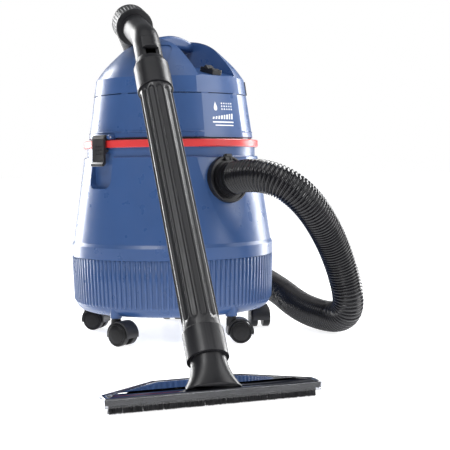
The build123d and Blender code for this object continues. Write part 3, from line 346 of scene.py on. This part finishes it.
# %% Rings along the hose
def ring_tree():
    tree, given, leave = start_tree("hose_rings", [
        ("Pitch", "NodeSocketFloat", RING_PITCH),
        ("Outer Radius", "NodeSocketFloat", HOSE_DIAMETER / 2),
        ("Depth", "NodeSocketFloat", RING_DEPTH),
        ("Sides", "NodeSocketInt", 40),
        ("Material", "NodeSocketMaterial", None),
    ])
    resample = tree.nodes.new("GeometryNodeResampleCurve")
    resample.mode = "LENGTH"
    wire(tree, given["Geometry"], resample.inputs["Curve"])
    wire(tree, calculate(tree, "DIVIDE", given["Pitch"], SAMPLES_PER_RING), resample.inputs["Length"])
    index = tree.nodes.new("GeometryNodeInputIndex")
    # Half a turn of phase to each ring gives round crests with a sharp groove between them.
    share = calculate(tree, "DIVIDE", index.outputs["Index"], SAMPLES_PER_RING)
    phase = calculate(tree, "MULTIPLY", share, math.pi)
    crest = calculate(tree, "ABSOLUTE", calculate(tree, "COSINE", phase))
    dip = calculate(tree, "MULTIPLY", calculate(tree, "SUBTRACT", 1.0, crest), given["Depth"])
    radius = calculate(tree, "SUBTRACT", given["Outer Radius"], dip)
    circle = tree.nodes.new("GeometryNodeCurvePrimitiveCircle")
    circle.inputs["Radius"].default_value = 1.0
    wire(tree, given["Sides"], circle.inputs["Resolution"])
    sweep = tree.nodes.new("GeometryNodeCurveToMesh")
    sweep.inputs["Fill Caps"].default_value = True
    wire(tree, circle.outputs["Curve"], sweep.inputs["Profile Curve"])
    wire(tree, resample.outputs["Curve"], sweep.inputs["Curve"])
    wire(tree, radius, sweep.inputs["Scale"])
    smooth = tree.nodes.new("GeometryNodeSetShadeSmooth")
    wire(tree, sweep.outputs["Mesh"], smooth.inputs["Geometry"])
    end_tree(tree, smooth.outputs["Geometry"], given["Material"], leave)
    return tree


hose_line = nurbs_line("hose_line", HOSE_ROUTE)
hose_path = line_points(hose_line)
hose_line.name = "hose_corrugated"
hose = grow(hose_line, ring_tree(), {"Material": HOSE_BLACK})
finish_piece(hose, "machine", None, ["hose"])

# %% [markdown]
# ## Ribs round the tank's lower band
# The lower band carries upright ribs, about ten millimetres apart. One rib is drawn as a rounded
# bar that ends in a slope at its foot, and a small Geometry Nodes tree turns copies of it about the axis.

# %% Turned copies about the upright axis
def turned_copies_tree(name):
    tree, given, leave = start_tree(name, [
        ("Count", "NodeSocketInt", 12),
        ("Material", "NodeSocketMaterial", None),
    ])
    places = tree.nodes.new("GeometryNodePoints")
    wire(tree, given["Count"], places.inputs["Count"])
    index = tree.nodes.new("GeometryNodeInputIndex")
    step = calculate(tree, "DIVIDE", 2 * math.pi, given["Count"])
    angle = calculate(tree, "MULTIPLY", index.outputs["Index"], step)
    turn_by = tree.nodes.new("ShaderNodeCombineXYZ")
    wire(tree, angle, turn_by.inputs["Z"])
    copies = tree.nodes.new("GeometryNodeInstanceOnPoints")
    wire(tree, places.outputs["Points"], copies.inputs["Points"])
    wire(tree, given["Geometry"], copies.inputs["Instance"])
    wire(tree, turn_by.outputs["Vector"], copies.inputs["Rotation"])
    end_tree(tree, copies.outputs["Instances"], given["Material"], leave)
    return tree


RIB_COUNT = 120
RIB_WIDTH = 5.4 * MM
RIB_RISE = 1.9
# Across the rib from edge to edge: the share of its width, then of its rise.
RIB_SECTION = [(-0.5, -1.2), (-0.42, 0.55), (-0.24, 1.0), (0.24, 1.0), (0.42, 0.55), (0.5, -1.2)]
# Up the band from foot to head: the height, the band's radius and the share of the rise.
RIB_STATIONS = [
    (64.5, 183.4, 0.0),
    (67.5, 184.6, 0.7),
    (70.5, 185.2, 1.0),
    (110.0, 186.6, 1.0),
    (149.9, 187.9, 1.0),
]


def rib():
    points, faces = [], []
    for z, base, rise in RIB_STATIONS:
        for side, height in RIB_SECTION:
            lift = RIB_RISE * height * (rise if height > 0 else 1.0)
            points.append(((base + lift) * MM, side * RIB_WIDTH, z * MM))
    wide = len(RIB_SECTION)
    for row in range(len(RIB_STATIONS) - 1):
        for column in range(wide - 1):
            low = row * wide + column
            faces.append((low, low + 1, low + wide + 1, low + wide))
    faces.append(tuple(range(wide)))
    faces.append(tuple(range(len(points) - wide, len(points))))
    return mesh_piece("tank_ribs", points, faces)


ribs = grow(rib(), turned_copies_tree("ribs_round_tank"), {"Count": RIB_COUNT, "Material": BLUE})
finish_piece(ribs, "machine")
print("ribs", RIB_COUNT, "faces", len(ribs.data.polygons))

# %% [markdown]
# ## The fluted wand
# The suction tube has twelve shallow channels between flat lands, and each channel ends in a scallop.
# The tube is lofted: one closed outline per station along the wand, with the channels narrowing to
# nothing near both ends. The wand's own axes come from the joint of the air slide, which runs along it.

# %% The wand's frame
def frame_along(axis, middle, length):
    # Local Z is the given axis, local X is level, and the origin is at the low end.
    upward = Vector(axis).normalized()
    side = Vector((-upward.y, upward.x, 0)).normalized()
    top = upward.cross(side)
    rows = Matrix((side, top, upward)).transposed().to_4x4()
    return Matrix.Translation(Vector(middle) - upward * (length / 2)) @ rows


def middle_of(node):
    low_corner, high_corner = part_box(node)
    return (low_corner + high_corner) / 2


WAND_AXIS = [-value for value in joints["regulator_slide"]["axis"]]
TUBE_LENGTH = 526 * MM
wand_frame = frame_along(WAND_AXIS, middle_of("wand_tube"), TUBE_LENGTH)
print("wand foot", [round(v, 4) for v in wand_frame.translation])

# %% The fluted tube
TUBE_RADIUS = 26.5
CHANNELS = 12
CHANNEL_DEPTH = 3.0
CHANNEL_START, CHANNEL_END = 48.0, 482.0
SCALLOP = 9.0
SCALLOP_STEPS, STRAIGHT_STEPS = 6, 12
LAND_MARGIN = 6
# Across one pitch of the tube: the place in the pitch and the share of the channel's depth.
CHANNEL_SECTION = [
    (-0.5, 0), (-0.40, 0), (-0.375, 0.12), (-0.345, 0.85), (-0.30, 1), (-0.12, 1),
    (0.12, 1), (0.30, 1), (0.345, 0.85), (0.375, 0.12), (0.40, 0),
]
CHANNEL_EDGE = 0.40
NARROWEST_SHARE = 0.02
DEPTH_GAIN = 1.6


def channel_share(along):
    # How wide the channel is at a place along the tube: a half circle at each end.
    reach = min(along - CHANNEL_START, CHANNEL_END - along)
    if reach <= 0:
        return 0.0
    if reach >= SCALLOP:
        return 1.0
    return math.sqrt(1 - (1 - reach / SCALLOP) ** 2)


def tube_outline(along):
    share = channel_share(along)
    pitch = 2 * math.pi / CHANNELS
    outline = []
    for channel in range(CHANNELS):
        for place, depth in CHANNEL_SECTION:
            narrowing = max(share, NARROWEST_SHARE) if abs(place) <= CHANNEL_EDGE else 1.0
            angle = (channel + place * narrowing) * pitch
            radius = TUBE_RADIUS - CHANNEL_DEPTH * depth * min(1.0, share * DEPTH_GAIN)
            outline.append((radius * math.cos(angle), radius * math.sin(angle)))
    return outline


def stations():
    near = [SCALLOP * k / SCALLOP_STEPS for k in range(SCALLOP_STEPS + 1)]
    straight = CHANNEL_END - CHANNEL_START - 2 * SCALLOP
    places = [0.0, CHANNEL_START - LAND_MARGIN]
    places += [CHANNEL_START + step for step in near]
    places += [CHANNEL_START + SCALLOP + straight * k / STRAIGHT_STEPS for k in range(1, STRAIGHT_STEPS)]
    places += [CHANNEL_END - step for step in reversed(near)]
    return places + [CHANNEL_END + LAND_MARGIN, TUBE_LENGTH / MM]


def loft(name, rings):
    # Rings are lists of points of one length, and the first and the last are capped.
    points = [point for ring in rings for point in ring]
    count = len(rings[0])
    faces = []
    for row in range(len(rings) - 1):
        for k in range(count):
            nxt = (k + 1) % count
            here, above = row * count, (row + 1) * count
            faces.append((here + k, here + nxt, above + nxt, above + k))
    faces.append(tuple(range(count)))
    faces.append(tuple(range(len(points) - count, len(points))))
    return mesh_piece(name, points, faces)


def wand_tube():
    rings = []
    for along in stations():
        rings.append([wand_frame @ Vector((x * MM, y * MM, along * MM)) for x, y in tube_outline(along)])
    return loft("wand_fluted_tube", rings)


tube = wand_tube()
finish_piece(tube, "machine", TUBE_BLACK, ["wand_tube"])
print("tube faces", len(tube.data.polygons))

# %% [markdown]
# ## The floor tool
# The housing is a low six-sided shell with a crowned glossy top, a raised rim and rounded corners. It is
# lofted from one rounded outline that is drawn in step by step. The bristles behind the clear rail are
# grown in Geometry Nodes with a fixed seed, in ten tufted sections.

# %% The floor tool's frame
FRONT_STRIP_Y = 9.8
strip = Vector(mounts["tool_bristle_face"]["pos_m"])
TOOL_HEADING = math.radians(-19.55)
tool_frame = Matrix.Translation(strip) @ Matrix.Rotation(TOOL_HEADING, 4, "Z")
tool_frame = tool_frame @ Matrix.Translation((0, -FRONT_STRIP_Y * MM, 0))
TOOL_HALF = 152.0
RAIL_THICKNESS = 2.85
HOUSING_SIDE_Y, HOUSING_BACK_Y = 30.0, 92.0
HOUSING_BACK_HALF = 64.0
LONGEST_CORNER = 0.45
PARALLEL = 1e-6


def drawn_in(corners, inset):
    # Moves each side of a convex outline inwards and finds where neighbours cross.
    moved = []
    count = len(corners)
    for k in range(count):
        a, b, c = (Vector(corners[(k + j) % count]) for j in (-1, 0, 1))
        first, second = (b - a).normalized(), (c - b).normalized()
        across = Vector((-first.y, first.x)) * inset, Vector((-second.y, second.x)) * inset
        turn_by = first.cross(second)
        step = (across[1] - across[0]).cross(second) / turn_by if abs(turn_by) > PARALLEL else 0
        moved.append(b + across[0] + first * step)
    return moved


def rounded(corners, radius, steps=6):
    outline = []
    count = len(corners)
    for k in range(count):
        a, b, c = corners[k - 1], corners[k], corners[(k + 1) % count]
        to_a, to_c = (a - b).normalized(), (c - b).normalized()
        half = to_a.angle(to_c) / 2
        longest = LONGEST_CORNER * min((a - b).length, (c - b).length)
        reach = min(radius / math.tan(half), longest)
        start, end = b + to_a * reach, b + to_c * reach
        for j in range(steps + 1):
            t = j / steps
            outline.append((1 - t) ** 2 * start + 2 * t * (1 - t) * b + t ** 2 * end)
    return outline


def tool_corners():
    half, front = TOOL_HALF - RAIL_THICKNESS, RAIL_THICKNESS
    return [(-half, front), (half, front), (half, HOUSING_SIDE_Y), (HOUSING_BACK_HALF, HOUSING_BACK_Y),
            (-HOUSING_BACK_HALF, HOUSING_BACK_Y), (-half, HOUSING_SIDE_Y)]


# Inset from the outline, height and corner radius of each ring, from the foot to the crown.
HOUSING_PROFILE = [
    (0.6, 13.0, 3), (0.0, 13.8, 3), (0.0, 20.0, 3), (0.5, 21.2, 3), (1.5, 21.9, 3), (2.8, 21.9, 3),
    (3.6, 21.2, 3), (4.6, 20.9, 3), (7.0, 21.5, 4), (12.0, 22.6, 6), (18.0, 23.4, 8), (26.0, 23.8, 10),
]


def tool_housing():
    rings = []
    for inset, height, radius in HOUSING_PROFILE:
        outline = rounded(drawn_in(tool_corners(), inset), radius)
        rings.append([tool_frame @ Vector((p.x * MM, p.y * MM, height * MM)) for p in outline])
    return loft("tool_housing", rings)


housing = tool_housing()
finish_piece(housing, "machine", TOOL_GLOSS, ["tool_body"])
print("housing faces", len(housing.data.polygons))

# %% The neck with its flared foot
NECK_RADIUS = 24.6
NECK_LENGTH = 60.0
NECK_GAP = 0.5
NECK_STEPS, NECK_SIDES = 21, 56
# How fast the foot gathers, how much rounder and wider it starts, and how far back it sits.
FLARE_POWER = 2.4
FLARE_ROUND, FLARE_WIDE = 0.10, 0.75
FLARE_BACK = 10
NECK_SEAT_Z, NECK_SEAT_RISE = 20.6, 0.4


def tool_neck():
    # Rings that start wide on the housing and gather into the round socket under the collar.
    to_tool = tool_frame.inverted() @ wand_frame
    rings = []
    for step in range(NECK_STEPS + 1):
        t = step / NECK_STEPS
        flare = (1 - t) ** FLARE_POWER
        centre = to_tool @ Vector((0, 0, (-NECK_LENGTH * (1 - t) - NECK_GAP) * MM))
        ring = []
        for k in range(NECK_SIDES):
            angle = 2 * math.pi * k / NECK_SIDES
            radius = NECK_RADIUS * MM
            rim = to_tool @ Vector((radius * math.cos(angle), radius * math.sin(angle), 0))
            reach = rim - to_tool.translation
            point = centre + reach * (1 + FLARE_ROUND * flare)
            point.x += reach.x * FLARE_WIDE * flare
            point.y += FLARE_BACK * MM * flare
            point.z = max(point.z, (NECK_SEAT_Z + NECK_SEAT_RISE * t) * MM)
            ring.append(tool_frame @ point)
        rings.append(ring)
    return loft("tool_neck_flared", rings)


neck = tool_neck()
finish_piece(neck, "machine", BLACK, ["tool_neck"])

# %% Bristles in tufted sections
BACK_STRIP_Y = 33.5
FRONT_STRIP_LENGTH, BACK_STRIP_LENGTH = 0.286, 0.242
BRISTLE_WIDTH = (0.00055, 0.00095)
BRISTLE_LENGTH = (0.0128, 0.0142)
LEAN_LOW, LEAN_HIGH = (-0.16, -0.14, -3.0), (0.05, 0.14, 3.0)


def bristle():
    # One flat, slightly tapered blade of bristle, a unit long, hanging down from its root.
    points = [(-0.5, 0, 0), (0.5, 0, 0), (0.0, 0.6, 0), (-0.35, 0.1, -1), (0.35, 0.1, -1), (0.0, 0.5, -1)]
    faces = [(0, 1, 4, 3), (1, 2, 5, 4), (2, 0, 3, 5), (0, 2, 1), (3, 4, 5)]
    return mesh_piece("bristle_blade", points, faces, smooth=False)


def random_between(tree, kind, low_value, high_value, seed):
    node = tree.nodes.new("FunctionNodeRandomValue")
    node.data_type = kind
    socket = 0 if kind == "FLOAT_VECTOR" else 2
    node.inputs[socket].default_value = low_value
    node.inputs[socket + 1].default_value = high_value
    node.inputs["Seed"].default_value = seed
    return node.outputs[0 if kind == "FLOAT_VECTOR" else 1]


def bristle_tree():
    tree, given, leave = start_tree("bristle_strip", [
        ("Strip Length", "NodeSocketFloat", 0.288),
        ("Strip Depth", "NodeSocketFloat", 0.005),
        ("Root Height", "NodeSocketFloat", 0.0145),
        ("Section", "NodeSocketFloat", 0.0285),
        ("Gap", "NodeSocketFloat", 0.035),
        ("Count", "NodeSocketInt", 5200),
        ("Blade", "NodeSocketObject", None),
        ("Material", "NodeSocketMaterial", None),
    ])
    places = tree.nodes.new("GeometryNodePoints")
    wire(tree, given["Count"], places.inputs["Count"])
    along = random_between(tree, "FLOAT", -0.5, 0.5, 3)
    across = random_between(tree, "FLOAT", -0.5, 0.5, 4)
    spot = tree.nodes.new("ShaderNodeCombineXYZ")
    x = calculate(tree, "MULTIPLY", along, given["Strip Length"])
    wire(tree, x, spot.inputs["X"])
    wire(tree, calculate(tree, "MULTIPLY", across, given["Strip Depth"]), spot.inputs["Y"])
    wire(tree, given["Root Height"], spot.inputs["Z"])
    wire(tree, spot.outputs["Vector"], places.inputs["Position"])
    # Each section fades to a notch at both of its ends.
    shifted = calculate(tree, "ADD", x, 5.0)
    phase = calculate(tree, "FRACT", calculate(tree, "DIVIDE", shifted, given["Section"]))
    edge = calculate(tree, "MINIMUM", phase, calculate(tree, "SUBTRACT", 1.0, phase))
    inside = calculate(tree, "GREATER_THAN", edge, given["Gap"])
    remove = tree.nodes.new("GeometryNodeDeleteGeometry")
    wire(tree, places.outputs["Points"], remove.inputs["Geometry"])
    wire(tree, calculate(tree, "LESS_THAN", inside, 0.5), remove.inputs["Selection"])
    blade = tree.nodes.new("GeometryNodeObjectInfo")
    wire(tree, given["Blade"], blade.inputs["Object"])
    copies = tree.nodes.new("GeometryNodeInstanceOnPoints")
    wire(tree, remove.outputs["Geometry"], copies.inputs["Points"])
    wire(tree, blade.outputs["Geometry"], copies.inputs["Instance"])
    lean = random_between(tree, "FLOAT_VECTOR", LEAN_LOW, LEAN_HIGH, 5)
    wire(tree, lean, copies.inputs["Rotation"])
    thick = random_between(tree, "FLOAT", *BRISTLE_WIDTH, 6)
    reach = random_between(tree, "FLOAT", *BRISTLE_LENGTH, 7)
    size = tree.nodes.new("ShaderNodeCombineXYZ")
    wire(tree, thick, size.inputs["X"])
    wire(tree, thick, size.inputs["Y"])
    wire(tree, reach, size.inputs["Z"])
    wire(tree, size.outputs["Vector"], copies.inputs["Scale"])
    end_tree(tree, copies.outputs["Instances"], given["Material"], leave)
    return tree


def empty_mesh(name):
    return link(name, bpy.data.meshes.new(name))


def place_mesh(piece, matrix):
    piece.data.transform(matrix)
    piece.data.update()


blade = bristle()
tree_of_bristles = bristle_tree()
strips = []
for name, y, length in (("bristles_front", FRONT_STRIP_Y, FRONT_STRIP_LENGTH),
                        ("bristles_back", BACK_STRIP_Y, BACK_STRIP_LENGTH)):
    strip_piece = grow(empty_mesh(name), tree_of_bristles, {
        "Blade": blade, "Strip Length": length, "Material": BLACK})
    place_mesh(strip_piece, tool_frame @ Matrix.Translation((0, y * MM, 0)))
    strips.append(strip_piece)
bpy.data.objects.remove(blade)
finish_piece(strips[0], "machine", None, ["tool_bristles"])
finish_piece(strips[1], "machine")
print("bristle faces", [len(piece.data.polygons) for piece in strips])

# %% [markdown]
# ## Printed symbols
# The front facet of the head carries a small white print: a water drop beside three rows of dust dots, a
# row of rising level marks and two plain lines. Each symbol is a very thin plate on the facet's curve.

# %% Printed symbols on the head
PRINT_WHITE = moulded("print_white", (0.80, 0.82, 0.85), (0.45, 0.55), 900, 0.02, 0.04)
HEAD_TURN = math.radians(4.3)
FACET_CURVE = 235.9
FACET_CENTRE = 83.8
FACET_BASE_Z, FACET_SLOPE = 362.4, 0.1422
PRINT_MIDDLE_Z = 407.0
PRINT_BACK, PRINT_FACE = 0.03, 0.15
DROP_STEPS, DROP_WIDTH, DROP_POINT = 28, 0.66, 1.5
DOT_STEPS, DOT_ROWS, DOT_COLUMNS = 14, 3, 5
MARKS = 8
BAR_STEP = 4


def facet_point(across, up, lift):
    # The facet is a tall cone whose front is nearly flat; distances run along its curve.
    height = PRINT_MIDDLE_Z + up
    radius = FACET_CURVE - (height - FACET_BASE_Z) * FACET_SLOPE + lift
    angle = across / radius
    point = Vector((radius * math.sin(angle), FACET_CENTRE - radius * math.cos(angle), height))
    return Matrix.Rotation(HEAD_TURN, 4, "Z") @ (point * MM)


def plate(outline):
    # A closed plate, 0.12 mm thick, whose face stands 0.15 mm proud of the facet.
    count = len(outline)
    points = [facet_point(u, v, lift) for lift in (PRINT_BACK, PRINT_FACE) for u, v in outline]
    # The two faces are strips of quads between opposite outline points.
    faces = []
    for base in (0, count):
        for k in range(count // 2 - 1):
            faces.append(tuple(base + j for j in (k, k + 1, count - 2 - k, count - 1 - k)))
    for k in range(count):
        following = (k + 1) % count
        faces.append((k, k + count, following + count, following))
    return points, faces


def drop(u, v, size):
    outline = []
    for k in range(DROP_STEPS):
        t = 2 * math.pi * k / DROP_STEPS
        half_width = DROP_WIDTH * size * math.sin(t) * math.sin(t / 2) ** DROP_POINT
        outline.append((u + half_width, v + size * math.cos(t)))
    return outline


def disc(u, v, radius):
    angles = [2 * math.pi * k / DOT_STEPS for k in range(DOT_STEPS)]
    return [(u + radius * math.cos(a), v + radius * math.sin(a)) for a in angles]


def bar(u, v, width, height, slant=0.0):
    # Short steps along both long sides let the bar follow the facet's curve.
    steps = max(1, round(width / BAR_STEP))
    shares = [k / steps for k in range(steps + 1)]
    low = [(u + width * share, v) for share in shares]
    high = [(u + slant + width * share, v + height) for share in reversed(shares)]
    return low + high


def printed_symbols():
    outlines = [drop(-17, 14, 8.0)]
    for row in range(DOT_ROWS):
        for column in range(DOT_COLUMNS):
            outlines.append(disc(-2 + column * 6.0, 9 + row * 5.2, 1.5))
    for step in range(MARKS):
        outlines.append(bar(-26 + step * 6.4, -9, 3.6, 4.0 + step * 0.9, 1.4))
    outlines.append(bar(-26, -15.5, 50, 2.4))
    outlines.append(bar(-21, -21, 44, 1.9))
    points, faces = [], []
    for outline in outlines:
        new_points, new_faces = plate(outline)
        faces += [tuple(k + len(points) for k in face) for face in new_faces]
        points += new_points
    return mesh_piece("printed_symbols", points, faces, smooth=False)


symbols = printed_symbols()
finish_piece(symbols, "machine", PRINT_WHITE)
print("symbol faces", len(symbols.data.polygons))

# %% [markdown]
# ## Studio
# A plain pale floor that shines a little, a pale world and a very soft sun above. Two tall lights, behind
# and beside the machine, draw the bright rims down both edges of the tank, and two more light its front.

# %% Floor
FLOOR_HALF = 30.0
FLOOR_DROP = 0.0002
FLOOR_GLOW = 0.78


def plain_floor():
    corners = [(x * FLOOR_HALF, y * FLOOR_HALF, 0) for x, y in ((-1, -1), (1, -1), (1, 1), (-1, 1))]
    floor = mesh_piece("floor", corners, [(0, 1, 2, 3)])
    floor.location.z = -FLOOR_DROP
    material = moulded("pale_floor", (0.90, 0.90, 0.91), (0.12, 0.20), 60, 0.01, 0.01, specular=0.3)
    shader = material.node_tree.nodes["Principled BSDF"]
    shader.inputs["Emission Color"].default_value = (1.0, 1.0, 1.0, 1.0)
    shader.inputs["Emission Strength"].default_value = FLOOR_GLOW
    floor.data.materials.append(material)


plain_floor()

# %% Lights
def soft_light(name, place, target, size, power):
    data = bpy.data.lights.new(name, "AREA")
    data.shape = "RECTANGLE"
    data.size, data.size_y = size
    data.energy = power
    lamp = bpy.data.objects.new(name, data)
    scene.collection.objects.link(lamp)
    lamp.location = place
    lamp.rotation_euler = (Vector(target) - Vector(place)).to_track_quat("-Z", "Y").to_euler()


def overhead_light():
    # A very soft sun keeps the pale floor equally bright everywhere.
    data = bpy.data.lights.new("overhead", "SUN")
    data.energy = 1.25
    data.angle = math.radians(75)
    lamp = bpy.data.objects.new("overhead", data)
    scene.collection.objects.link(lamp)
    lamp.rotation_euler = Euler((math.radians(14), math.radians(-20), 0))


TANK_MIDDLE, HEAD_MIDDLE = (0, 0, 0.30), (0, 0, 0.45)
overhead_light()
soft_light("left_rim", (-0.35, 2.3, 0.9), TANK_MIDDLE, (0.7, 2.0), 75)
soft_light("right_rim", (1.5, -0.1, 0.9), TANK_MIDDLE, (0.5, 2.0), 40)
soft_light("right_key", (1.3, -2.1, 1.3), TANK_MIDDLE, (1.5, 1.6), 34)
soft_light("high_left", (-1.7, -0.7, 2.0), HEAD_MIDDLE, (0.7, 0.7), 16)

# %% World
def pale_world():
    # White where the camera looks past the floor, and a dimmer grey as a light source.
    world = bpy.data.worlds.new("pale_world")
    world.use_nodes = True
    tree = world.node_tree
    shown = tree.nodes.new("ShaderNodeBackground")
    shown.inputs["Color"].default_value = (1.0, 1.0, 1.0, 1.0)
    lit = tree.nodes["Background"]
    lit.inputs["Color"].default_value = (0.93, 0.96, 1.0, 1.0)
    lit.inputs["Strength"].default_value = 0.22
    ray = tree.nodes.new("ShaderNodeLightPath")
    mix = tree.nodes.new("ShaderNodeMixShader")
    wire(tree, ray.outputs["Is Camera Ray"], mix.inputs[0])
    wire(tree, lit.outputs["Background"], mix.inputs[1])
    wire(tree, shown.outputs["Background"], mix.inputs[2])
    wire(tree, mix.outputs["Shader"], tree.nodes["World Output"].inputs["Surface"])
    scene.world = world


pale_world()
